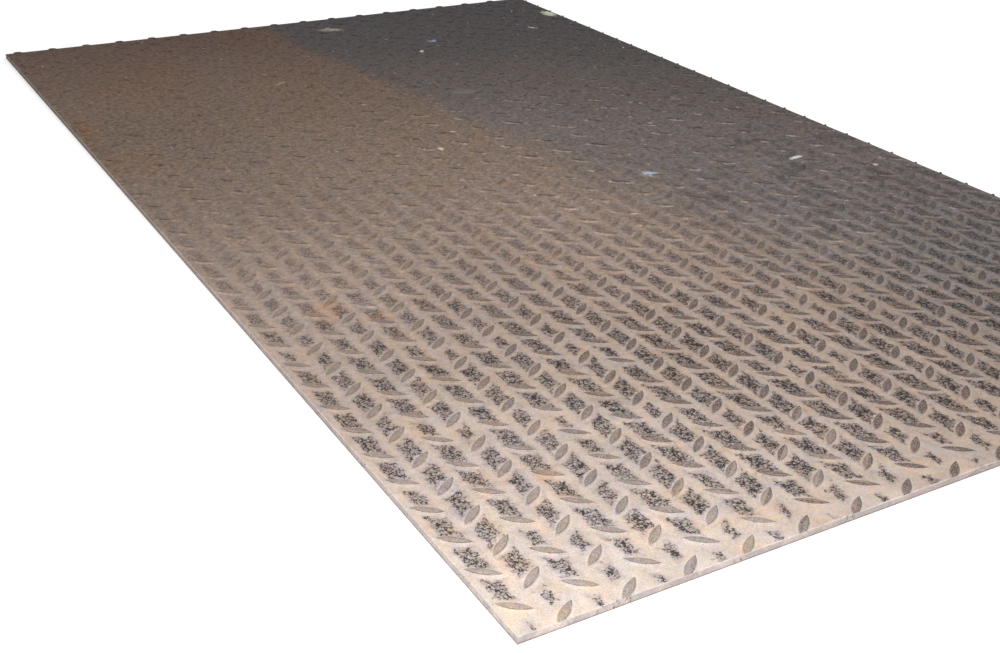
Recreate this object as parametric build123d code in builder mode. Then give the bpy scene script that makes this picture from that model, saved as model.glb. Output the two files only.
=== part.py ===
from build123d import *
import math
import os

# A sheared piece of hot-rolled checker plate, lying flat with its raised pattern up.
# Millimetres: X runs across the sheet, Y runs along the way it was rolled, Z is up.
# The origin is the centre of the flat underside.

# Sheet, as it was sheared
plate_width = 914.4
plate_length = 1524.0
plate_thickness = 6.35  # between the lugs

# Lug: lens-shaped from above, highest along a crest that stops short of its two points
lug_length = 31.0
lug_width = 8.6
lug_height = 1.5
crest_length = 17.0
lean_angle = 39.0  # between a lug and the X axis

# Pattern: columns of lugs that lean back and forward by turns, half a row apart,
# measured from the corner of the sheet at its lowest X and Y
column_step = 26.0
row_step = 41.7
first_column = 13.5  # its lugs lean back
first_lug = 26.6
faintest_tip = 4.0  # a lug with less than this inside the sheet is too low there to show

on_floor = (Align.CENTER, Align.CENTER, Align.MIN)
reach_x = lug_length / 2 * math.cos(math.radians(lean_angle))
reach_y = lug_length / 2 * math.sin(math.radians(lean_angle))


def lug_places():
    # every lug that lies at least partly in the sheet, whole or cut by its edge
    places = []
    margin_x = reach_x - faintest_tip
    margin_y = reach_y - faintest_tip
    first = math.ceil((-margin_x - first_column) / column_step)
    last = math.floor((plate_width + margin_x - first_column) / column_step)
    for column in range(first, last + 1):
        forward = column % 2 == 1
        start = first_lug + row_step / 2 if forward else first_lug
        turn = lean_angle if forward else -lean_angle
        x = first_column + column * column_step - plate_width / 2
        low = math.ceil((-margin_y - start) / row_step)
        high = math.floor((plate_length + margin_y - start) / row_step)
        for row in range(low, high + 1):
            y = start + row * row_step - plate_length / 2
            places.append(Location((x, y, plate_thickness), (0, 0, turn)))
    return places


with BuildPart() as lug:
    ConvexPolyhedron([
        (lug_length / 2, 0, 0),
        (-lug_length / 2, 0, 0),
        (0, lug_width / 2, 0),
        (0, -lug_width / 2, 0),
        (crest_length / 2, 0, lug_height),
        (-crest_length / 2, 0, lug_height),
    ])
foot, *slopes = lug.faces().sort_by(Axis.Z)

# The strip as it left the rolls, larger than the sheet by a lug's length on every side
with BuildPart() as strip:
    Box(plate_width + 2 * lug_length, plate_length + 2 * lug_length, plate_thickness, align=on_floor)
*plain_faces, upper = strip.faces().sort_by(Axis.Z)

# The lugs are one skin with the strip: each foot is open to the steel below it
places = lug_places()
around_lugs = Face(upper.outer_wire(), [foot.outer_wire().moved(place) for place in places])
over_lugs = [slope.moved(place) for place in places for slope in slopes]
rolled_strip = Solid(Shell([around_lugs, *plain_faces, *over_lugs]))

# Sheared to size, through the lugs that stand on the cut
with BuildPart() as checker_plate:
    add(rolled_strip)
    Box(plate_width, plate_length, plate_thickness + lug_height, align=on_floor, mode=Mode.INTERSECT)

checker_plate.part.label = "checker_plate"
os.makedirs("parts", exist_ok=True)
export_step(checker_plate.part, "parts/checker_plate.step")
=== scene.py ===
import math
import random
import bmesh
import bpy
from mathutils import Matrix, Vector


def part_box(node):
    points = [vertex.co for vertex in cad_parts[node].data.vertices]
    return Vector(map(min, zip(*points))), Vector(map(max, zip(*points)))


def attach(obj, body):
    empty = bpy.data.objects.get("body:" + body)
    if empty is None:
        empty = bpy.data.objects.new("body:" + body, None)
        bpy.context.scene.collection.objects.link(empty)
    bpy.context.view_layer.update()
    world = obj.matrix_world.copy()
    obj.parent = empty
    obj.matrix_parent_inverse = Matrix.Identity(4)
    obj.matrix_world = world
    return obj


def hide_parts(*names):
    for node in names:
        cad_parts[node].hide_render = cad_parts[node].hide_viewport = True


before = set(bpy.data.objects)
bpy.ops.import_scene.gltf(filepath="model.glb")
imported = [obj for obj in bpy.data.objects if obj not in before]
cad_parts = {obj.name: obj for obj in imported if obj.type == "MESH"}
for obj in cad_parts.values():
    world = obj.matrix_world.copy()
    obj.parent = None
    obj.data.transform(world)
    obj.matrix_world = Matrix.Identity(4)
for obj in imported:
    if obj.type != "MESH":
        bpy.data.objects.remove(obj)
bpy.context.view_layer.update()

plateLow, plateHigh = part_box("checker_plate")
mm = 0.001

# Sizes of the rolled sheet, in millimetres, with the first lug counted from its near left corner.
sheet = {
    "gauge": 6.35,              # thickness under the lugs
    "columnStep": 26.0,         # across the sheet, from one column of lugs to the next
    "rowStep": 41.7,            # along the sheet, from one lug to the next in its column
    "firstColumn": 13.5,
    "firstLug": 26.6,           # a lug that leans back; those that lean forward are half a row off
    "leanDegrees": 39.0,
}
lugShape = {
    "length": 31.0,
    "width": 8.6,
    "height": 1.5,
    "wear": 0.12,               # the most that a lug has lost of its height
    "wearSeed": 3,
    "stations": 8,              # steps from tip to tip
    "sunk": 0.3,                # how far its closed foot stands in the sheet
    "rings": ((0.0, -1.0), (0.75, 0.72), (1.5, 0.95)),   # inset, share of the height (-1: the foot)
}
width = plateHigh[0] - plateLow[0]
length = plateHigh[1] - plateLow[1]
faceHeight = plateLow[2] + sheet["gauge"] * mm
halfLug, halfLugWidth = lugShape["length"] / 2, lugShape["width"] / 2
lugRadius = (halfLug ** 2 + halfLugWidth ** 2) / (2 * halfLugWidth)     # of the two arcs round it


# Small helpers for the node trees

def feed(tree, socket, value):
    if isinstance(value, bpy.types.NodeSocket):
        tree.links.new(value, socket)
    else:
        socket.default_value = value


def addNode(tree, kind, settings=None, values=None):
    node = tree.nodes.new(kind)
    for name, value in (settings or {}).items():
        setattr(node, name, value)
    for name, value in (values or {}).items():
        feed(tree, node.inputs[name], value)
    return node


def calc(tree, operation, *values, clamp=False):
    node = addNode(tree, "ShaderNodeMath", {"operation": operation, "use_clamp": clamp})
    for place, value in enumerate(values):
        feed(tree, node.inputs[place], value)
    return node.outputs[0]


def times(tree, product, *others):
    for other in others:
        product = calc(tree, "MULTIPLY", product, other)
    return product


def plus(tree, total, *others):
    for other in others:
        total = calc(tree, "ADD", total, other)
    return total


def oneLess(tree, value):
    return calc(tree, "SUBTRACT", 1.0, value)


def vectorCalc(tree, operation, *values):
    node = addNode(tree, "ShaderNodeVectorMath", {"operation": operation})
    for place, value in enumerate(values):
        feed(tree, node.inputs[place], value)
    return node.outputs["Value"] if operation == "LENGTH" else node.outputs[0]


def fade(tree, value, start, end, low=0.0, high=1.0):
    # goes smoothly from low at start to high at end
    node = addNode(tree, "ShaderNodeMapRange", {"interpolation_type": "SMOOTHSTEP"},
                   {"Value": value, "From Min": start, "From Max": end, "To Min": low, "To Max": high})
    return node.outputs["Result"]


def noise(tree, vector, scale, detail, roughness, output=0):
    node = addNode(tree, "ShaderNodeTexNoise", {},
                   {"Vector": vector, "Scale": scale, "Detail": detail, "Roughness": roughness})
    return node.outputs[output]


def wobble(tree, vector, noiseValues, span):
    # noise that swings round nought, by span from its lowest to its highest
    return calc(tree, "MULTIPLY_ADD", noise(tree, vector, *noiseValues), span, -span / 2)


def tone(red, green, blue):
    # a colour as seen, 0 to 255, in the linear values that the shaders take
    def linear(part):
        part = part / 255.0
        return part / 12.92 if part <= 0.04045 else ((part + 0.055) / 1.055) ** 2.4
    return (linear(red), linear(green), linear(blue), 1.0)


def blendColours(tree, factor, first, second):
    node = addNode(tree, "ShaderNodeMix", {"data_type": "RGBA", "clamp_factor": True})
    feed(tree, node.inputs[0], factor)
    feed(tree, node.inputs[6], first)
    feed(tree, node.inputs[7], second)
    return node.outputs[2]


def scaleColour(tree, colour, factor):
    # multiplies a colour, or a place, by a value
    node = addNode(tree, "ShaderNodeVectorMath", {"operation": "SCALE"})
    feed(tree, node.inputs[0], colour)
    feed(tree, node.inputs["Scale"], factor)
    return node.outputs[0]


def tintWhere(tree, mask, colour, tint):
    # multiplies a colour by a tint, as far as the mask says
    return blendColours(tree, mask, colour, vectorCalc(tree, "MULTIPLY", colour, tint))


def newGroup(name, inputs, outputs, kind="ShaderNodeTree"):
    # inputs are given as (name, type of socket, default), outputs as (name, type of socket)
    tree = bpy.data.node_groups.new(name, kind)
    for socketName, socketType, default in inputs:
        socket = tree.interface.new_socket(name=socketName, in_out="INPUT",
                                           socket_type="NodeSocket" + socketType)
        if default is not None:
            socket.default_value = default
    for socketName, socketType in outputs:
        tree.interface.new_socket(name=socketName, in_out="OUTPUT", socket_type="NodeSocket" + socketType)
    return tree, tree.nodes.new("NodeGroupInput").outputs, tree.nodes.new("NodeGroupOutput").inputs


def useGroup(tree, group, values):
    node = tree.nodes.new("ShaderNodeGroup")
    node.node_tree = group
    for name, value in values.items():
        feed(tree, node.inputs[name], value)
    return node.outputs


# Shader groups shared by the surfaces. In all dictionaries of shader values, a name that ends in
# Noise holds a noise's scale (per millimetre), detail and roughness. One that ends in Fade holds
# where a change starts and ends, then its two values where they aren't 0 and 1.

treadBlur = 0.6     # millimetres either way of a lug's middle line, where below goes over into above


def makeTreadField():
    # where a point lies in the lug pattern, in millimetres
    tree, take, give = newGroup("treadField", [("Place", "Vector", None)],
                                [("From Lug", "Float"), ("Off Column", "Float"), ("Above Lug", "Float"),
                                 ("Forward", "Float"), ("Cell", "Vector")])
    split = addNode(tree, "ShaderNodeSeparateXYZ", {}, {0: take["Place"]})
    across, along = split.outputs[0], split.outputs[1]
    step, row = sheet["columnStep"], sheet["rowStep"]
    fromFirst = calc(tree, "SUBTRACT", across, sheet["firstColumn"])
    column = calc(tree, "ROUND", calc(tree, "DIVIDE", fromFirst, step))
    dx = calc(tree, "SUBTRACT", across, calc(tree, "MULTIPLY_ADD", column, step, sheet["firstColumn"]))
    forward = calc(tree, "FLOORED_MODULO", column, 2.0)
    start = calc(tree, "MULTIPLY_ADD", forward, -row / 2, sheet["firstLug"])
    fromStart = calc(tree, "SUBTRACT", along, start)
    lugRow = calc(tree, "ROUND", calc(tree, "DIVIDE", fromStart, row))
    dy = calc(tree, "SUBTRACT", fromStart, times(tree, lugRow, row))
    lean = calc(tree, "MULTIPLY_ADD", forward, 2.0, -1.0)     # 1 for the lugs that lean forward, or -1
    angle = math.radians(sheet["leanDegrees"])
    sine, cosine = math.sin(angle), math.cos(angle)
    onAxis = calc(tree, "MULTIPLY_ADD", times(tree, lean, dy), sine, times(tree, dx, cosine))
    offAxis = calc(tree, "MULTIPLY_ADD", times(tree, lean, dx), -sine, times(tree, dy, cosine))
    reach = plus(tree, calc(tree, "ABSOLUTE", offAxis), lugRadius - halfLugWidth)
    square = plus(tree, times(tree, onAxis, onAxis), times(tree, reach, reach))
    feed(tree, give["From Lug"], calc(tree, "SUBTRACT", calc(tree, "SQRT", square), lugRadius))
    feed(tree, give["Off Column"], calc(tree, "ABSOLUTE", dx))
    feed(tree, give["Above Lug"], fade(tree, offAxis, -treadBlur, treadBlur))
    feed(tree, give["Forward"], forward)
    above = calc(tree, "GREATER_THAN", offAxis, 0.0)
    cell = addNode(tree, "ShaderNodeCombineXYZ", {}, {0: column, 1: plus(tree, lugRow, above)})
    feed(tree, give["Cell"], cell.outputs[0])
    return tree


grainLook = {
    "fineNoise": (0.75, 3.0, 0.7),
    "broadNoise": (0.055, 3.0, 0.6),
    "fineShare": 1.7,           # of the fine grain, for one of the broad
    "hueNoise": (0.16, 3.0, 0.7),
    "hueSpan": (0.34, 0.20, 0.40),
    "hueLeast": (0.83, 0.90, 0.80),
}


def makeDustGrain():
    # fine sandy grain: a value round one, a faint tint and a height
    v = grainLook
    tree, take, give = newGroup("dustGrain", [("Place", "Vector", None), ("Amount", "Float", 0.1)],
                                [("Value", "Float"), ("Tint", "Color"), ("Height", "Float")])
    fine = noise(tree, take["Place"], *v["fineNoise"])
    broad = noise(tree, take["Place"], *v["broadNoise"])
    both = calc(tree, "MULTIPLY_ADD", calc(tree, "SUBTRACT", fine, 0.5), v["fineShare"],
                calc(tree, "SUBTRACT", broad, 0.5))
    feed(tree, give["Value"], calc(tree, "MULTIPLY_ADD", both, take["Amount"], 1.0))
    hues = noise(tree, take["Place"], *v["hueNoise"], output=1)
    feed(tree, give["Tint"], vectorCalc(tree, "MULTIPLY_ADD", hues, v["hueSpan"], v["hueLeast"]))
    feed(tree, give["Height"], fine)
    return tree


crumbLook = {
    "clumpNoise": (0.19, 2.0, 0.5),
    "clumping": 2.6,
    "sizes": ((0.34, 0.26), (0.62, 0.22)),      # cells to a millimetre, smallest radius in cells
    "radiusSpan": 0.26,
    "rimFade": (0.16, -0.10),
    "shareFade": (0.10, -0.10),
    "bright": (0.6, 0.5),       # span and least
}


def makeCrumbs():
    # salt and pepper: round, light crumbs of dust left on dark mill scale
    v = crumbLook
    tree, take, give = newGroup("crumbs", [("Place", "Vector", None), ("Crumb Share", "Float", 0.45)],
                                [("Mask", "Float")])
    share = plus(tree, take["Crumb Share"], wobble(tree, take["Place"], v["clumpNoise"], v["clumping"]))
    total = None
    for scale, least in v["sizes"]:
        grains = addNode(tree, "ShaderNodeTexVoronoi", {"voronoi_dimensions": "2D"},
                         {"Vector": take["Place"], "Scale": scale})
        dice = addNode(tree, "ShaderNodeSeparateColor", {}, {0: grains.outputs["Color"]})
        radius = calc(tree, "MULTIPLY_ADD", dice.outputs[0], v["radiusSpan"], least)
        dot = fade(tree, calc(tree, "SUBTRACT", grains.outputs["Distance"], radius), *v["rimFade"])
        there = fade(tree, calc(tree, "SUBTRACT", dice.outputs[1], share), *v["shareFade"])
        bright = calc(tree, "MULTIPLY_ADD", dice.outputs[2], *v["bright"], clamp=True)
        grain = times(tree, dot, there, bright)
        total = grain if total is None else calc(tree, "MAXIMUM", total, grain)
    feed(tree, give["Mask"], total)
    return tree


litterLook = {
    "scale": 0.028,             # places for a speck, to a millimetre
    "radius": (0.035, 0.018),   # span and least, in places
    "rimNoise": (0.5, 2.0, 0.6),
    "ragged": 0.10,
    "rimFade": (0.012, -0.012),
    "colourSpan": (0.22, 0.16, 0.16),
    "colourLeast": (0.30, 0.28, 0.26),
}


def makeLitter():
    # scattered specks of grit, a few to a hand's breadth
    v = litterLook
    tree, take, give = newGroup("litter", [("Place", "Vector", None), ("Share", "Float", 0.3)],
                                [("Mask", "Float"), ("Color", "Color")])
    cells = addNode(tree, "ShaderNodeTexVoronoi", {"voronoi_dimensions": "2D"},
                    {"Vector": take["Place"], "Scale": v["scale"]})
    dice = addNode(tree, "ShaderNodeSeparateColor", {}, {0: cells.outputs["Color"]})
    radius = calc(tree, "MULTIPLY_ADD", dice.outputs[0], *v["radius"])
    away = plus(tree, calc(tree, "SUBTRACT", cells.outputs["Distance"], radius),
                wobble(tree, take["Place"], v["rimNoise"], v["ragged"]))
    there = calc(tree, "LESS_THAN", dice.outputs[1], take["Share"])
    feed(tree, give["Mask"], times(tree, fade(tree, away, *v["rimFade"]), there))
    colour = vectorCalc(tree, "MULTIPLY_ADD", cells.outputs["Color"], v["colourSpan"], v["colourLeast"])
    feed(tree, give["Color"], colour)
    return tree


ovalRimFade = (1.1, 0.55)       # in half sizes from the centre


def makeOval():
    # a spot with a ragged, soft edge
    tree, take, give = newGroup("oval", [("Place", "Vector", None), ("Centre", "Vector", None),
                                         ("Half Size", "Vector", None), ("Turn", "Float", 0.0),
                                         ("Rough", "Float", 0.0), ("Strength", "Float", 1.0)],
                                [("Mask", "Float")])
    toSpot = vectorCalc(tree, "SUBTRACT", take["Place"], take["Centre"])
    turned = addNode(tree, "ShaderNodeVectorRotate", {"rotation_type": "Z_AXIS"},
                     {"Vector": toSpot, "Angle": take["Turn"]})
    away = vectorCalc(tree, "LENGTH", vectorCalc(tree, "DIVIDE", turned.outputs[0], take["Half Size"]))
    mask = fade(tree, plus(tree, away, take["Rough"]), *ovalRimFade)
    feed(tree, give["Mask"], times(tree, mask, take["Strength"]))
    return tree


treadField = makeTreadField()
dustGrain = makeDustGrain()
crumbs = makeCrumbs()
litter = makeLitter()
oval = makeOval()
print("shader groups made")


# What the materials share

def bareMaterial(name):
    material = bpy.data.materials.new(name)
    material.use_nodes = True
    tree = material.node_tree
    tree.nodes.clear()
    output = tree.nodes.new("ShaderNodeOutputMaterial")
    surface = tree.nodes.new("ShaderNodeBsdfPrincipled")
    tree.links.new(surface.outputs[0], output.inputs[0])
    coordinates = tree.nodes.new("ShaderNodeTexCoord")
    # millimetres from the near left corner
    place = vectorCalc(tree, "SUBTRACT", coordinates.outputs["Object"], (plateLow[0], plateLow[1], 0.0))
    return material, tree, surface, scaleColour(tree, place, 1.0 / mm)


def dress(tree, surface, look, colour, roughness, grain):
    feed(tree, surface.inputs["Base Color"], colour)
    feed(tree, surface.inputs["Roughness"], roughness)
    surface.inputs["Specular IOR Level"].default_value = look["sheen"]
    strength, distance = look["bump"]
    bump = addNode(tree, "ShaderNodeBump", {},
                   {"Strength": strength, "Distance": distance * mm, "Height": grain["Height"]})
    feed(tree, surface.inputs["Normal"], bump.outputs[0])


def toneAlong(tree, reach, stops):
    colour = stops[0][1]
    for (start, _), (end, nextTone) in zip(stops, stops[1:]):
        share = addNode(tree, "ShaderNodeMapRange", {},
                        {"Value": reach, "From Min": start, "From Max": end})
        colour = blendColours(tree, share.outputs["Result"], colour, nextTone)
    return colour


def spotMask(tree, place, spots, rough):
    # soft-edged ovals, each with its own strength, as one mask; height makes no difference to them
    total = None
    for x, y, halfX, halfY, turn, strength in spots:
        spot = useGroup(tree, oval, {"Place": place, "Centre": (x, y, 0.0),
                                     "Half Size": (halfX, halfY, 1e6), "Turn": math.radians(turn),
                                     "Rough": rough, "Strength": strength})
        total = spot["Mask"] if total is None else calc(tree, "MAXIMUM", total, spot["Mask"])
    return total


# The dust on the rolled face, with a painted falloff of light away from the near left corner, and what
# stains it

dustAndLightFalloffLook = {
    # colours, by how far they lie from the dustiest place, in metres: partly dust, and mostly a painted
    # falloff of light that darkens the far end
    "dustAndLightFalloff": ((0.30, tone(229, 212, 199)), (0.46, tone(206, 189, 177)), (0.60, tone(184, 166, 153)),
             (0.85, tone(164, 145, 132)), (1.08, tone(140, 123, 111)), (1.35, tone(120, 104, 92)),
             (1.80, tone(94, 78, 71))),
    # and on the cleaner side, with the same painted falloff of light
    "cleaner": ((0.90, tone(140, 130, 123)), (1.05, tone(125, 117, 113)), (1.25, tone(116, 107, 103)),
                (1.50, tone(98, 90, 86)), (1.68, tone(84, 79, 78)), (1.90, tone(77, 73, 74))),
    "dustiestAndBrightest": (-0.10, -0.25),     # metres, beyond the near left corner
    "unevenNoise": (0.006, 3.0, 0.55),
    "uneven": 0.14,
    # a duller stretch by the left edge
    "dullNearFade": (480.0, 760.0),
    "dullFarFade": (1260.0, 1000.0),
    "dullLeftFade": (380.0, 40.0, 0.0, 0.15),
    # the soft line where the cleaner side starts: across, along, and its shift for each millimetre along
    "cleanLine": (407.0, 1509.0, 0.127),
    "lineNoise": (0.008, 3.0, 0.5),
    "lineWander": 70.0,
    "softnessFade": (1050.0, 350.0, 32.0, 230.0),
    "cleanFade": (-0.5, 0.8),
    # warm and cool drifts
    "driftNoise": (0.045, 3.0, 0.6),
    "peach": (1.07, 0.985, 0.88),
    "peachFade": (0.48, 0.66),
    "peachReachFade": (0.7, 0.3, 0.65, 1.0),
    "cool": (0.95, 0.98, 1.04),
    "coolFade": (0.46, 0.34),
    # rust stains: centre from the near left corner, half sizes (millimetres), turn (degrees), strength
    "rustStains": ((24, 1130, 24, 90, 8, 0.2), (14, 1120, 9, 48, 4, 0.8), (30, 960, 40, 60, 0, 0.3),
                   (78, 488, 20, 28, 30, 0.42), (120, 455, 18, 14, 0, 0.4), (60, 250, 12, 16, 0, 0.35),
                   (150, 1290, 90, 120, 20, 0.25), (366, 1440, 60, 70, 0, 0.2),
                   (330, 1180, 70, 160, 10, 0.14), (112, 150, 9, 12, 0, 0.4)),
    "rust": (1.16, 0.88, 0.62),
    # dark oily spots
    "darkSpots": ((838, 523, 22, 12, 0, 0.55), (660, 422, 17, 12, 0, 0.5), (770, 700, 26, 10, 0, 0.5),
                  (600, 560, 40, 16, 10, 0.35), (560, 500, 34, 14, 0, 0.35), (700, 470, 40, 14, -5, 0.35)),
    "oil": (0.45, 0.46, 0.50),
    # grain, dark blotches on the cleaner side, and a coarser mottle far off
    "grainFade": (0.4, 1.4, 0.52, 0.36),
    "blotch": (0.66, 0.70, 0.70),
    "blotchNoise": (0.028, 3.0, 0.6),
    "blotchFade": (0.49, 0.64),
    "blotchFarFade": (950.0, 500.0),
    "blotchNearFade": (380.0, 600.0, 0.25, 1.0),
    "mottleNoise": (0.16, 3.0, 0.75),
    "mottleFade": (0.5, 1.3, 0.3, 2.1),
}


def dustAndLightFalloffReach(tree, place):
    # metres from the dustiest place, where the painted light is brightest, made a little uneven
    v = dustAndLightFalloffLook
    x, y = v["dustiestAndBrightest"]
    flat = vectorCalc(tree, "MULTIPLY_ADD", place, (mm, mm, 0.0), (-x, -y, 0.0))
    return plus(tree, vectorCalc(tree, "LENGTH", flat), wobble(tree, place, v["unevenNoise"], v["uneven"]))


def layDustAndLightFalloff(tree, place, u, w, reach, rough):
    v = dustAndLightFalloffLook
    # the dust tones carry a painted falloff of light as well as the dust
    dustAndLightFalloff = toneAlong(tree, reach, v["dustAndLightFalloff"])
    dull = times(tree, fade(tree, w, *v["dullNearFade"]), fade(tree, w, *v["dullFarFade"]),
                 fade(tree, u, *v["dullLeftFade"]))
    dustAndLightFalloff = scaleColour(tree, dustAndLightFalloff, oneLess(tree, dull))

    across, along, shift = v["cleanLine"]
    line = calc(tree, "MULTIPLY_ADD", w, -shift, across + shift * along)
    past = plus(tree, calc(tree, "SUBTRACT", u, line), wobble(tree, place, v["lineNoise"], v["lineWander"]))
    softness = fade(tree, w, *v["softnessFade"])
    clean = fade(tree, calc(tree, "DIVIDE", past, softness), *v["cleanFade"])
    dustAndLightFalloff = blendColours(tree, clean, dustAndLightFalloff, toneAlong(tree, reach, v["cleaner"]))

    drift = noise(tree, place, *v["driftNoise"])
    warm = times(tree, fade(tree, drift, *v["peachFade"]), fade(tree, reach, *v["peachReachFade"]))
    dustAndLightFalloff = tintWhere(tree, warm, dustAndLightFalloff, v["peach"])
    dustAndLightFalloff = tintWhere(tree, fade(tree, drift, *v["coolFade"]), dustAndLightFalloff, v["cool"])
    dustAndLightFalloff = tintWhere(tree, spotMask(tree, place, v["rustStains"], rough), dustAndLightFalloff, v["rust"])
    dustAndLightFalloff = tintWhere(tree, spotMask(tree, place, v["darkSpots"], rough), dustAndLightFalloff, v["oil"])

    grain = useGroup(tree, dustGrain, {"Place": place, "Amount": fade(tree, reach, *v["grainFade"])})
    dustAndLightFalloff = scaleColour(tree, vectorCalc(tree, "MULTIPLY", dustAndLightFalloff, grain["Tint"]), grain["Value"])
    blotch = times(tree, fade(tree, noise(tree, place, *v["blotchNoise"]), *v["blotchFade"]), clean,
                   fade(tree, w, *v["blotchFarFade"]), fade(tree, w, *v["blotchNearFade"]))
    dustAndLightFalloff = tintWhere(tree, blotch, dustAndLightFalloff, v["blotch"])
    mottle = calc(tree, "SUBTRACT", noise(tree, place, *v["mottleNoise"]), 0.5)
    mottle = times(tree, mottle, fade(tree, reach, *v["mottleFade"]))
    return scaleColour(tree, dustAndLightFalloff, plus(tree, mottle, 1.0)), grain


# The bare patches of mill scale between the lugs of a column

patchLook = {
    "scale": (0.080, 0.080, 0.092),     # bare mill scale, as a share of the dust round it
    "crumb": (0.90, 0.91, 0.90),
    "halfWidth": 8.6,
    "gapAbove": 1.1,            # between a patch and the lug below it
    "gapBelow": 3.3,            # and the lug above it
    "closer": 1.3,              # how much closer it comes where the lug below it leans back
    "raggedNoise": (0.17, 4.0, 0.68),
    "ragged": 15.0,
    # what the dust takes off a patch, in millimetres: by chance, in drifts, and by the two near edges
    "thinFade": (0.7, 1.0, 0.0, 3.0),
    "driftNoise": (0.02, 2.0, 0.5),
    "driftFade": (0.58, 0.75, 0.0, 3.0),
    "nearEdgeFade": (70.0, 5.0, 0.0, 5.0),
    "leftEdgeFade": (9.0, 2.0, 0.0, 5.0),
    # and towards the left edge and along the sheet
    "leftFade": (380.0, 20.0, 0.0, 1.2),
    "alongFade": (250.0, 850.0, 0.0, 3.2),
    # a grey film of thin dust, over and round the patches
    "film": (0.80, 0.80, 0.87),
    "filmNoise": (0.09, 3.0, 0.6),
    "filmRagged": 8.0,
    "filmFade": (0.5, 4.5),
    "filmAwayFade": (300.0, 1150.0, 0.75, 0.15),
    "rimFade": (-0.8, 0.8),
    "crumbFade": (4.5, 0.0, 0.60, 1.05),        # more crumbs by the rim of a patch
    "crumbsInSmall": 0.09,                      # and more for each millimetre taken off it
    "awayFade": (320.0, 950.0, 0.96, 0.0),
}


def barePatches(tree, place, u, w, away, field, cellNoise, dustAndLightFalloff):
    v = patchLook
    gap = addNode(tree, "ShaderNodeMapRange", {},
                  {"Value": field["Above Lug"], "To Min": v["gapBelow"], "To Max": v["gapAbove"]})
    closer = times(tree, oneLess(tree, field["Forward"]), times(tree, field["Above Lug"], v["closer"]))
    gap = calc(tree, "SUBTRACT", gap.outputs["Result"], closer)
    inside = calc(tree, "MINIMUM", calc(tree, "SUBTRACT", v["halfWidth"], field["Off Column"]),
                  calc(tree, "SUBTRACT", field["From Lug"], gap))
    edges = calc(tree, "MAXIMUM", fade(tree, w, *v["nearEdgeFade"]), fade(tree, u, *v["leftEdgeFade"]))
    shrink = plus(tree, fade(tree, u, *v["leftFade"]), fade(tree, away, *v["alongFade"]))
    cover = plus(tree, fade(tree, cellNoise, *v["thinFade"]),
                 fade(tree, noise(tree, place, *v["driftNoise"]), *v["driftFade"]), edges, shrink)
    ragged = wobble(tree, place, v["raggedNoise"], v["ragged"])
    inside = calc(tree, "SUBTRACT", plus(tree, inside, ragged), cover)

    hazy = calc(tree, "MULTIPLY_ADD", noise(tree, place, *v["filmNoise"]), v["filmRagged"],
                plus(tree, inside, shrink))
    film = times(tree, fade(tree, hazy, *v["filmFade"]), fade(tree, away, *v["filmAwayFade"]))
    dustAndLightFalloff = tintWhere(tree, film, dustAndLightFalloff, v["film"])

    share = calc(tree, "MULTIPLY_ADD", shrink, v["crumbsInSmall"], fade(tree, inside, *v["crumbFade"]))
    speckled = addNode(tree, "ShaderNodeMix", {"data_type": "VECTOR"})
    feed(tree, speckled.inputs[0], useGroup(tree, crumbs, {"Place": place, "Crumb Share": share})["Mask"])
    feed(tree, speckled.inputs[4], v["scale"])
    feed(tree, speckled.inputs[5], v["crumb"])
    part = times(tree, fade(tree, inside, *v["rimFade"]), fade(tree, away, *v["awayFade"]))
    return dustAndLightFalloff, tintWhere(tree, part, dustAndLightFalloff, speckled.outputs[1]), part


# The marks of the lugs. Their distances are counted from a lug's outline, negative inside it.

lugLook = {
    # a pale band on the slopes and foot of a lug, partly banked dust and partly a painted highlight, most
    # of it below the lug
    "bankAndHighlight": (1.05, 1.11, 1.18),
    "bankOuterFade": (1.6, 0.4),
    "bankInnerFade": (-0.85, -0.45),
    "bankAboveFade": (0.0, 1.0, 1.0, 0.65),
    "bankAwayFade": (400.0, 1100.0, 1.0, 0.2),
    # the mottled top, as a share of the dust
    "top": (0.41, 0.39, 0.41),
    "topFade": (-0.60, -1.05),
    "topAwayFade": (300.0, 980.0, 1.0, 0.05),
    "speckNoise": (1.1, 2.0, 0.6),
    "speckFade": (0.40, 0.60, 0.35, 1.50),
    # some tops are paler: by chance, more of them far from the corner, and by the left edge
    "pale": 0.80,
    "palePart": 0.6,
    "paleReachFade": (0.3, 0.7, -0.35, 0.28),
    "paleFade": (0.45, 0.0),
    "paleLeftFade": (320.0, 40.0, 0.0, 0.85),
    # a dark line of painted shade along the lower edge; far off it is wider, and only the lugs that lean
    # back keep it
    "shadeRim": (0.30, 0.29, 0.29, 1.0),
    "farShadeRim": (0.13, 0.13, 0.14, 1.0),
    "farFade": (330.0, 800.0),
    "lineFrom": -0.95,
    "lineWidthFade": (400.0, 900.0, 0.9, 5.0),
    "lineAboveFade": (0.0, 1.0, 1.0, 0.30),
    "lineFarFade": (1400.0, 850.0, 0.15, 1.0),
    "lineForwardFade": (500.0, 1000.0, 0.0, 0.8),
    "lineNoise": (0.12, 3.0, 0.6),
    "lineNoiseFade": (0.40, 0.54, 0.15, 1.0),
    # far off, slopes lightened by painted light, to even out their shading
    "slope": 1.16,
    "slopePart": 0.7,
    "slopeOuterFade": (0.4, 0.0),
    "slopeInnerFade": (-2.0, -1.1),
    # and a painted highlight along the near side of the lugs that lean back
    "glint": (2.5, 2.6, 2.7),
    "glintOuterFade": (1.8, 0.9),
    "glintInnerFade": (-0.6, -0.3),
    "glintLeftFade": (250.0, 600.0, 0.3, 1.0),
    "glintFarFade": (1350.0, 850.0),
    "glintNoise": (0.07, 2.0, 0.5),
    "glintNoiseFade": (0.48, 0.60),
}


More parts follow.
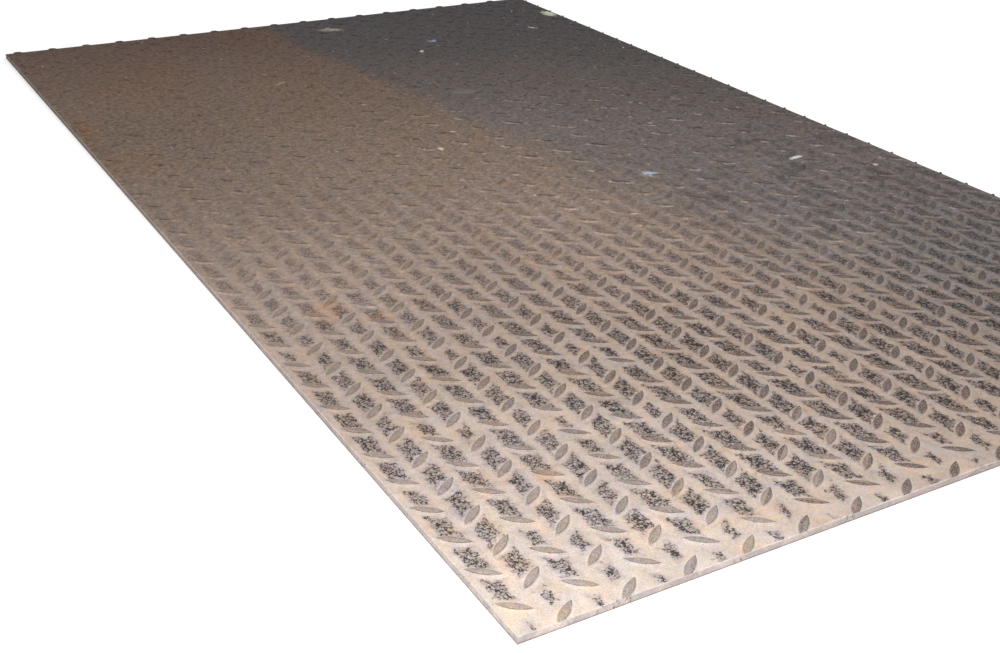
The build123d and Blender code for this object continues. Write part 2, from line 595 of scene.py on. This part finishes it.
def markLugs(tree, place, u, w, reach, away, field, cellNoise, dustAndLightFalloff, colour):
    v = lugLook
    fromLug, above, leansBack = field["From Lug"], field["Above Lug"], oneLess(tree, field["Forward"])
    # pale band: partly banked dust, partly a painted highlight
    bankAndHighlight = times(tree, fade(tree, fromLug, *v["bankOuterFade"]), fade(tree, fromLug, *v["bankInnerFade"]),
                 fade(tree, above, *v["bankAboveFade"]), fade(tree, away, *v["bankAwayFade"]))
    colour = blendColours(tree, bankAndHighlight, colour, vectorCalc(tree, "MULTIPLY", dustAndLightFalloff, v["bankAndHighlight"]))

    onLug = fade(tree, fromLug, *v["topFade"])
    speck = fade(tree, noise(tree, place, *v["speckNoise"]), *v["speckFade"])
    top = scaleColour(tree, vectorCalc(tree, "MULTIPLY", dustAndLightFalloff, v["top"]), speck)
    paler = fade(tree, plus(tree, cellNoise, fade(tree, reach, *v["paleReachFade"])), *v["paleFade"])
    paler = times(tree, calc(tree, "MAXIMUM", paler, fade(tree, u, *v["paleLeftFade"])), v["palePart"])
    top = blendColours(tree, paler, top, scaleColour(tree, dustAndLightFalloff, v["pale"]))
    topPart = times(tree, onLug, fade(tree, away, *v["topAwayFade"]))
    colour = blendColours(tree, topPart, colour, top)

    farness = fade(tree, away, *v["farFade"])
    inner = calc(tree, "SUBTRACT", v["lineFrom"], fade(tree, away, *v["lineWidthFade"]))
    below = times(tree, fade(tree, above, *v["lineAboveFade"]), fade(tree, w, *v["lineFarFade"]))
    lostForward = times(tree, field["Forward"], fade(tree, away, *v["lineForwardFade"]))
    # a line of painted shade along the lower edge of a lug
    line = times(tree, onLug, fade(tree, fromLug, inner, v["lineFrom"]), below, oneLess(tree, lostForward),
                 fade(tree, noise(tree, place, *v["lineNoise"]), *v["lineNoiseFade"]))
    shadeRim = blendColours(tree, farness, v["shadeRim"], v["farShadeRim"])
    colour = blendColours(tree, line, colour, vectorCalc(tree, "MULTIPLY", dustAndLightFalloff, shadeRim))

    # painted light on the far slopes, against their shading
    slope = times(tree, fade(tree, fromLug, *v["slopeOuterFade"]),
                  fade(tree, fromLug, *v["slopeInnerFade"]), farness, v["slopePart"])
    colour = blendColours(tree, slope, colour, scaleColour(tree, dustAndLightFalloff, v["slope"]))
    # a painted highlight along the near side of the lugs that lean back
    glint = times(tree, fade(tree, fromLug, *v["glintOuterFade"]),
                  fade(tree, fromLug, *v["glintInnerFade"]), leansBack, oneLess(tree, above),
                  fade(tree, u, *v["glintLeftFade"]), fade(tree, w, *v["glintFarFade"]), farness,
                  fade(tree, noise(tree, place, *v["glintNoise"]), *v["glintNoiseFade"]))
    return blendColours(tree, glint, colour, vectorCalc(tree, "MULTIPLY", dustAndLightFalloff, v["glint"])), topPart


# The rolled face as a whole

rolledFace = {
    "soonerRightFade": (150.0, 650.0, 0.0, 130.0),      # how much sooner contrast is lost on the right
    "spotNoise": (0.22, 3.0, 0.6),
    "spotRagged": 2.0,
    "gritShareFade": (200.0, 700.0, 0.16, 0.42),
    "gritPart": 0.75,
    "fleckPart": 0.9,
    # dried splashes and flakes: centre, half sizes (millimetres), turn (degrees), colour
    "flecks": ((507, 1455, 22, 9, 20, tone(150, 146, 132)), (901, 1402, 13, 20, 0, tone(196, 202, 180)),
               (628, 1321, 8, 4, 30, tone(150, 165, 185)), (823, 1329, 9, 3, 50, tone(190, 195, 190)),
               (583, 1272, 4, 4, 0, tone(210, 205, 200)), (541, 1056, 24, 13, 10, tone(112, 106, 104)),
               (583, 660, 11, 8, 40, tone(176, 184, 202)), (788, 625, 12, 4, -10, tone(216, 214, 210)),
               (320, 1204, 12, 4, -30, tone(150, 142, 120)), (800, 900, 5, 4, 0, tone(170, 150, 135)),
               (440, 905, 5, 4, 0, tone(190, 160, 170)), (395, 852, 4, 6, 0, tone(205, 200, 195)),
               (700, 820, 5, 3, 0, tone(180, 168, 140)), (862, 560, 4, 4, 0, tone(205, 196, 180))),
    "patchShine": 0.4,          # of a lug's
    "roughnessFade": (0.0, 1.0, 0.95, 0.66),
    "sheen": 0.10,
    "bump": (0.35, 0.3),        # strength, and millimetres
}


def makeRolledFace():
    v = rolledFace
    material, tree, surface, place = bareMaterial("rolledFace")
    field = useGroup(tree, treadField, {"Place": place})
    cellNoise = addNode(tree, "ShaderNodeTexWhiteNoise", {"noise_dimensions": "2D"},
                        {"Vector": field["Cell"]}).outputs["Value"]
    split = addNode(tree, "ShaderNodeSeparateXYZ", {}, {0: place})
    u, w = split.outputs[0], split.outputs[1]     # across and along the sheet
    reach = dustAndLightFalloffReach(tree, place)
    away = plus(tree, w, fade(tree, u, *v["soonerRightFade"]))
    rough = wobble(tree, place, v["spotNoise"], v["spotRagged"])
    dustAndLightFalloff, grain = layDustAndLightFalloff(tree, place, u, w, reach, rough)
    dustAndLightFalloff, colour, patchPart = barePatches(tree, place, u, w, away, field, cellNoise, dustAndLightFalloff)
    colour, topPart = markLugs(tree, place, u, w, reach, away, field, cellNoise, dustAndLightFalloff, colour)

    grit = useGroup(tree, litter, {"Place": place, "Share": fade(tree, u, *v["gritShareFade"])})
    colour = blendColours(tree, times(tree, grit["Mask"], v["gritPart"]), colour, grit["Color"])
    for x, y, halfX, halfY, turn, fleckTone in v["flecks"]:
        fleck = spotMask(tree, place, ((x, y, halfX, halfY, turn, v["fleckPart"]),), rough)
        colour = blendColours(tree, fleck, colour, fleckTone)

    bare = calc(tree, "MAXIMUM", topPart, times(tree, patchPart, v["patchShine"]))
    dress(tree, surface, v, colour, fade(tree, bare, *v["roughnessFade"]), grain)
    return material


# The sheared edge, and the underside

shearedEdge = {
    "cut": tone(176, 167, 167),
    "dusty": (0.8, 0.8, 0.8),   # its dust, as a share of the rolled face's
    "dustReachFade": (0.3, 1.2, 0.0, 0.85),
    "dustNoise": (0.05, 3.0, 0.6),
    "dustFade": (0.40, 0.62, 0.25, 0.75),
    "burr": tone(226, 217, 214),
    "burrNoise": (0.3, 2.0, 0.5),
    "burrRagged": 2.4,
    "burrHeightFade": (6.3, 7.0),
    "burrReachFade": (0.3, 1.2, 0.85, 0.3),
    "dark": (0.22, 0.20, 0.23),
    "darkNoise": (0.3, 4.0, 0.7),
    "darkFade": (0.55, 0.62),
    "darkDriftNoise": (0.02, 2.0, 0.5),
    "darkDriftFade": (0.50, 0.62, 0.25, 0.95),
    "darkLowFade": (1.6, 0.4, 0.0, 0.45),       # dark along the foot
    "grain": 0.6,
    "roughness": 0.75,
    "sheen": 0.2,
    "bump": (0.5, 0.4),
}


def makeShearedEdge():
    v = shearedEdge
    material, tree, surface, place = bareMaterial("shearedEdge")
    height = addNode(tree, "ShaderNodeSeparateXYZ", {}, {0: place}).outputs[2]
    reach = dustAndLightFalloffReach(tree, place)
    # the rolled face's dust tones, painted falloff of light included
    dustAndLightFalloff = toneAlong(tree, reach, dustAndLightFalloffLook["dustAndLightFalloff"])
    grain = useGroup(tree, dustGrain, {"Place": place, "Amount": v["grain"]})
    colour = blendColours(tree, fade(tree, reach, *v["dustReachFade"]), v["cut"],
                          vectorCalc(tree, "MULTIPLY", dustAndLightFalloff, v["dusty"]))
    dustier = fade(tree, noise(tree, place, *v["dustNoise"]), *v["dustFade"])
    colour = blendColours(tree, dustier, colour, dustAndLightFalloff)
    ragged = calc(tree, "MULTIPLY_ADD", noise(tree, place, *v["burrNoise"]), v["burrRagged"], height)
    burr = times(tree, fade(tree, ragged, *v["burrHeightFade"]), fade(tree, reach, *v["burrReachFade"]))
    colour = blendColours(tree, burr, colour, v["burr"])
    colour = scaleColour(tree, vectorCalc(tree, "MULTIPLY", colour, grain["Tint"]), grain["Value"])
    spots = times(tree, fade(tree, noise(tree, place, *v["darkNoise"]), *v["darkFade"]),
                  fade(tree, noise(tree, place, *v["darkDriftNoise"]), *v["darkDriftFade"]))
    dark = calc(tree, "MAXIMUM", spots, fade(tree, height, *v["darkLowFade"]))
    dress(tree, surface, v, tintWhere(tree, dark, colour, v["dark"]), v["roughness"], grain)
    return material


underFace = {
    "scale": tone(84, 80, 80),
    "rust": tone(112, 78, 58),
    "rustNoise": (0.012, 5.0, 0.6),
    "rustFade": (0.42, 0.66),
    "grain": 0.5,
    "roughness": 0.6,
    "sheen": 0.4,
    "bump": (0.3, 0.3),
}


def makeUnderFace():
    v = underFace
    material, tree, surface, place = bareMaterial("underFace")
    grain = useGroup(tree, dustGrain, {"Place": place, "Amount": v["grain"]})
    rusty = fade(tree, noise(tree, place, *v["rustNoise"]), *v["rustFade"])
    colour = scaleColour(tree, blendColours(tree, rusty, v["scale"], v["rust"]), grain["Value"])
    dress(tree, surface, v, colour, v["roughness"], grain)
    return material


materials = (makeRolledFace(), makeShearedEdge(), makeUnderFace())
rolledSlot, edgeSlot, underSlot = range(len(materials))
print("materials made")


# One lug: a low lens with a rounded shoulder and a slightly crowned top

def lensOutline(inset):
    drop = lugRadius - halfLugWidth
    radius = lugRadius - inset
    tip = math.sqrt(radius ** 2 - drop ** 2)
    steps = lugShape["stations"]
    xs = [-tip * math.cos(math.pi * k / steps) for k in range(steps + 1)]
    return [(x, math.sqrt(max(radius ** 2 - x * x, 0.0)) - drop) for x in xs]


def newFace(shape, corners):
    # the two tips are where sides meet, so a corner may be named twice there
    return shape.faces.new([c for place, c in enumerate(corners) if c not in corners[:place]])


def makeLug():
    mesh = bpy.data.meshes.new("lug")
    shape = bmesh.new()
    steps = lugShape["stations"]
    loops = []
    for inset, share in lugShape["rings"]:
        z = -lugShape["sunk"] if share < 0 else lugShape["height"] * share
        outline = lensOutline(inset)
        upper = [shape.verts.new((x * mm, y * mm, z * mm)) for x, y in outline]
        lower = [shape.verts.new((x * mm, -y * mm, z * mm)) for x, y in outline[1:-1]]
        loops.append((upper, [upper[0]] + lower + [upper[-1]]))
    for below, above in zip(loops, loops[1:]):
        for k in range(steps):
            shape.faces.new((below[0][k + 1], below[0][k], above[0][k], above[0][k + 1]))
            shape.faces.new((below[1][k], below[1][k + 1], above[1][k + 1], above[1][k]))
    upper, lower = loops[-1]
    crest = [shape.verts.new((v.co.x, 0.0, lugShape["height"] * mm)) for v in upper[1:-1]]
    crest = [upper[0]] + crest + [upper[-1]]
    for k in range(steps):
        newFace(shape, [upper[k + 1], upper[k], crest[k], crest[k + 1]])
        newFace(shape, [crest[k + 1], crest[k], lower[k], lower[k + 1]])
    upper, lower = loops[0]
    for k in range(steps):
        newFace(shape, [upper[k], upper[k + 1], lower[k + 1], lower[k]])
    bmesh.ops.recalc_face_normals(shape, faces=shape.faces)
    for face in shape.faces:
        face.smooth = True
    shape.to_mesh(mesh)
    shape.free()
    return bpy.data.objects.new("lug", mesh)


# The lug pattern, by Geometry Nodes

def makePatternTree():
    tree, take, give = newGroup(
        "lugPattern",
        [("Geometry", "Geometry", None), ("Lug", "Object", None), ("Column Step", "Float", 0.026),
         ("Row Step", "Float", 0.0417), ("Columns", "Int", 18), ("Rows", "Int", 38),
         ("Back Start", "Vector", None), ("Forward Start", "Vector", None), ("Lean", "Float", 0.68),
         ("Wear", "Float", 0.0), ("Seed", "Int", 3), ("Material", "Material", None)],
        [("Geometry", "Geometry")], "GeometryNodeTree")
    lug = addNode(tree, "GeometryNodeObjectInfo", {}, {"Object": take["Lug"]})
    joined = tree.nodes.new("GeometryNodeJoinGeometry")
    parts = []
    for startName, sign in (("Back Start", -1.0), ("Forward Start", 1.0)):
        spanX = times(tree, take["Column Step"], 2.0, calc(tree, "SUBTRACT", take["Columns"], 1.0))
        spanY = times(tree, take["Row Step"], calc(tree, "SUBTRACT", take["Rows"], 1.0))
        grid = addNode(tree, "GeometryNodeMeshGrid", {}, {"Size X": spanX, "Size Y": spanY,
                                                          "Vertices X": take["Columns"],
                                                          "Vertices Y": take["Rows"]})
        half = addNode(tree, "ShaderNodeCombineXYZ", {}, {0: calc(tree, "DIVIDE", spanX, 2.0),
                                                          1: calc(tree, "DIVIDE", spanY, 2.0)})
        placed = addNode(tree, "GeometryNodeTransform", {},
                         {"Geometry": grid.outputs["Mesh"],
                          "Translation": vectorCalc(tree, "ADD", take[startName], half.outputs[0])})
        turn = addNode(tree, "ShaderNodeCombineXYZ", {}, {2: times(tree, take["Lean"], sign)})
        # each lug is worn a little lower, by its own amount
        worn = addNode(tree, "FunctionNodeRandomValue", {"data_type": "FLOAT"}, {"Seed": take["Seed"]})
        least, most = [socket for socket in worn.inputs if socket.type == "VALUE"][:2]
        feed(tree, least, calc(tree, "SUBTRACT", 1.0, take["Wear"]))
        feed(tree, most, 1.0)
        wornHeight = [socket for socket in worn.outputs if socket.type == "VALUE"][0]
        size = addNode(tree, "ShaderNodeCombineXYZ", {}, {0: 1.0, 1: 1.0, 2: wornHeight})
        spread = addNode(tree, "GeometryNodeInstanceOnPoints", {},
                         {"Points": placed.outputs[0], "Instance": lug.outputs["Geometry"],
                          "Rotation": turn.outputs[0], "Scale": size.outputs[0]})
        parts.append(spread.outputs[0])
    for part in parts:
        tree.links.new(part, joined.inputs[0])
    solid = addNode(tree, "GeometryNodeRealizeInstances", {}, {0: joined.outputs[0]})
    painted = addNode(tree, "GeometryNodeSetMaterial", {},
                      {"Geometry": solid.outputs[0], "Material": take["Material"]})
    tree.links.new(painted.outputs[0], give[0])
    return tree


def applyTree(name, tree, values):
    # runs a Geometry Nodes tree and returns its result as a plain mesh
    carrier = bpy.data.objects.new(name, bpy.data.meshes.new(name))
    bpy.context.collection.objects.link(carrier)
    modifier = carrier.modifiers.new(name, "NODES")
    modifier.node_group = tree
    sockets = {item.name: item.identifier for item in tree.interface.items_tree if item.in_out == "INPUT"}
    for key, value in values.items():
        modifier[sockets[key]] = value
    ready = carrier.evaluated_get(bpy.context.evaluated_depsgraph_get())
    mesh = bpy.data.meshes.new_from_object(ready)
    carrier.modifiers.remove(modifier)
    bpy.data.objects.remove(carrier)
    return mesh


def makeLugs():
    lug = makeLug()
    columnStep, rowStep = sheet["columnStep"] * mm, sheet["rowStep"] * mm
    # enough of them to stand past every edge, for the shear to cut
    columns = math.ceil(width / columnStep / 2) + 1
    rows = math.ceil(length / rowStep) + 3
    startX = plateLow[0] + sheet["firstColumn"] * mm
    startY = plateLow[1] + sheet["firstLug"] * mm - rowStep
    mesh = applyTree("lugs", makePatternTree(), {
        "Lug": lug, "Column Step": columnStep, "Row Step": rowStep, "Columns": columns, "Rows": rows,
        "Back Start": (startX, startY, faceHeight),
        "Forward Start": (startX - columnStep, startY - rowStep / 2, faceHeight),
        "Lean": math.radians(sheet["leanDegrees"]), "Wear": lugShape["wear"],
        "Seed": lugShape["wearSeed"], "Material": materials[rolledSlot]})
    bpy.data.objects.remove(lug)
    return mesh


def shear(shape, margin):
    # cuts what stands past the sheared edges, and closes the cuts
    sides = ((Vector((plateLow[0] + margin, 0, 0)), Vector((-1, 0, 0))),
             (Vector((plateHigh[0] - margin, 0, 0)), Vector((1, 0, 0))),
             (Vector((0, plateLow[1] + margin, 0)), Vector((0, -1, 0))),
             (Vector((0, plateHigh[1] - margin, 0)), Vector((0, 1, 0))))
    for point, outward in sides:
        every = shape.verts[:] + shape.edges[:] + shape.faces[:]
        cut = bmesh.ops.bisect_plane(shape, geom=every, plane_co=point, plane_no=outward,
                                     clear_outer=True, dist=1e-7)
        rims = [e for e in cut["geom_cut"] if isinstance(e, bmesh.types.BMEdge) and e.is_boundary]
        bmesh.ops.edgeloop_fill(shape, edges=rims)


# The sheet itself, with its sheared edges a little uneven

edgeShape = {
    "step": 4.0,                # along the edge, between the points of its profile
    "rough": 0.28,              # how far the cut wanders inwards
    "seed": 11,
    "profile": ((0.9, 0.0), (0.25, 0.16), (0.05, 0.6), (0.0, 2.4), (0.22, 5.9), (0.10, 6.35)),  # in, down
    "lugMargin": 0.05,          # how far inside the edge a cut lug ends
}


def edgePath():
    # points round the sheet, each with its way inwards
    corners = ((plateLow[0], plateLow[1]), (plateHigh[0], plateLow[1]),
               (plateHigh[0], plateHigh[1]), (plateLow[0], plateHigh[1]))
    inwards = (Vector((0, 1)), Vector((-1, 0)), Vector((0, -1)), Vector((1, 0)))
    path = []
    for k in range(4):
        (x0, y0), (x1, y1) = corners[k], corners[(k + 1) % 4]
        count = round(math.dist(corners[k], corners[(k + 1) % 4]) / (edgeShape["step"] * mm))
        for i in range(count):
            share = i / count
            inward = inwards[k] if i else inwards[k] + inwards[k - 1]
            path.append((x0 + (x1 - x0) * share, y0 + (y1 - y0) * share, inward))
    return path


def makeSheet():
    dice = random.Random(edgeShape["seed"])
    profile = edgeShape["profile"]
    mesh = bpy.data.meshes.new("sheet")
    shape = bmesh.new()
    path = edgePath()
    rings = []
    for level, (inset, down) in enumerate(profile):
        rough = edgeShape["rough"] if 0 < level < len(profile) - 1 else 0.0
        z = faceHeight - down * mm
        ring = []
        for x, y, inward in path:
            reach = (inset + (dice.random() ** 2 * rough if rough else 0.0)) * mm
            ring.append(shape.verts.new((x + inward.x * reach, y + inward.y * reach, z)))
        rings.append(ring)
    for level, (above, below) in enumerate(zip(rings, rings[1:])):
        for i in range(-1, len(path) - 1):
            face = shape.faces.new((above[i], below[i], below[i + 1], above[i + 1]))
            # the roll-over is as dusty as the face
            face.material_index = edgeSlot if level else rolledSlot
            face.smooth = True
    shape.faces.new(rings[0]).material_index = rolledSlot
    shape.faces.new(rings[-1][::-1]).material_index = underSlot
    bmesh.ops.recalc_face_normals(shape, faces=shape.faces)
    shape.to_mesh(mesh)
    shape.free()
    return mesh


def makePlate():
    shape = bmesh.new()
    shape.from_mesh(makeLugs())
    shear(shape, edgeShape["lugMargin"] * mm)
    for face in shape.faces:
        face.material_index = rolledSlot
    print("lugs:", len(shape.faces), "faces")
    shape.from_mesh(makeSheet())
    mesh = bpy.data.meshes.new("checkerPlate")
    for material in materials:
        mesh.materials.append(material)
    shape.to_mesh(mesh)
    shape.free()
    plate = bpy.data.objects.new("checkerPlate", mesh)
    bpy.context.collection.objects.link(plate)
    mesh.calc_loop_triangles()
    print("plate:", len(mesh.loop_triangles), "triangles")
    return plate


plate = makePlate()
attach(plate, "root")
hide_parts("checker_plate")
print("plate made")


# Floor, lights and camera

studio = {
    "cameraSpot": (-0.8140, -1.3238, 0.5677),
    "cameraTurn": (63.053, -1.503, -30.175),
    "lens": 47.504,
    "sensor": 36.0,
    "clipStart": 0.01,
    "worldLight": 0.62,
    "keySpot": (-1.15, -1.75, 1.55),
    "keySize": 1.4,
    "keyPower": 30.0,
    "fillSpot": (1.2, 1.6, 2.4),
    "fillSize": 2.0,
    "fillPower": 10.0,
    "floor": (0.93, 0.93, 0.93, 1.0),
    "floorHalf": 12.0,
    "floorHeight": -0.0002,     # just clear of the plate's underside
    "floorLiftFade": (1.2, 3.0, 0.24, 0.5),     # makes the floor white to the camera alone, more so far out
}


def makeCamera():
    v = studio
    data = bpy.data.cameras.new("camera")
    data.lens = v["lens"]
    data.sensor_width = v["sensor"]
    data.clip_start = v["clipStart"]
    camera = bpy.data.objects.new("camera", data)
    camera.location = v["cameraSpot"]
    camera.rotation_euler = [math.radians(a) for a in v["cameraTurn"]]
    bpy.context.collection.objects.link(camera)
    bpy.context.scene.camera = camera


def makeLamp(name):
    # a round lamp that looks at the middle of the plate
    spot = Vector(studio[name + "Spot"])
    data = bpy.data.lights.new(name, "AREA")
    data.shape = "DISK"
    data.size = studio[name + "Size"]
    data.energy = studio[name + "Power"]
    lamp = bpy.data.objects.new(name, data)
    lamp.location = spot
    lamp.rotation_euler = (-spot).to_track_quat("-Z", "Y").to_euler()
    bpy.context.collection.objects.link(lamp)


def seenDirectly(tree):
    # one where the camera looks, straight or by a reflection, so that no more light falls on the plate
    path = tree.nodes.new("ShaderNodeLightPath")
    mirrored = calc(tree, "MAXIMUM", path.outputs["Is Glossy Ray"], path.outputs["Is Transmission Ray"])
    return calc(tree, "MAXIMUM", path.outputs["Is Camera Ray"], mirrored)


def makeFloor():
    v = studio
    mesh = bpy.data.meshes.new("floor")
    half, low = v["floorHalf"], v["floorHeight"]
    mesh.from_pydata([(-half, -half, low), (half, -half, low), (half, half, low), (-half, half, low)],
                     [], [(0, 1, 2, 3)])
    floor = bpy.data.objects.new("floor", mesh)
    bpy.context.collection.objects.link(floor)
    material = bpy.data.materials.new("floor")
    material.use_nodes = True
    tree = material.node_tree
    paint = tree.nodes["Principled BSDF"].inputs
    paint["Base Color"].default_value = v["floor"]
    paint["Roughness"].default_value = 1.0
    paint["Specular IOR Level"].default_value = 0.0
    paint["Emission Color"].default_value = (1, 1, 1, 1)
    spread = vectorCalc(tree, "LENGTH", tree.nodes.new("ShaderNodeTexCoord").outputs["Object"])
    lift = fade(tree, spread, *v["floorLiftFade"])
    feed(tree, paint["Emission Strength"], times(tree, seenDirectly(tree), lift))
    mesh.materials.append(material)


def makeWorld():
    world = bpy.data.worlds.new("studio")
    bpy.context.scene.world = world
    world.use_nodes = True
    tree = world.node_tree
    tree.nodes.clear()
    strength = addNode(tree, "ShaderNodeMapRange", {},
                       {"Value": seenDirectly(tree), "To Min": studio["worldLight"], "To Max": 1.0})
    sky = addNode(tree, "ShaderNodeBackground", {},
                  {"Color": (1, 1, 1, 1), "Strength": strength.outputs[0]})
    output = tree.nodes.new("ShaderNodeOutputWorld")
    tree.links.new(sky.outputs[0], output.inputs[0])


makeCamera()
makeLamp("key")
makeLamp("fill")
makeFloor()
makeWorld()
bpy.context.scene.view_settings.view_transform = "Standard"
print("studio made")
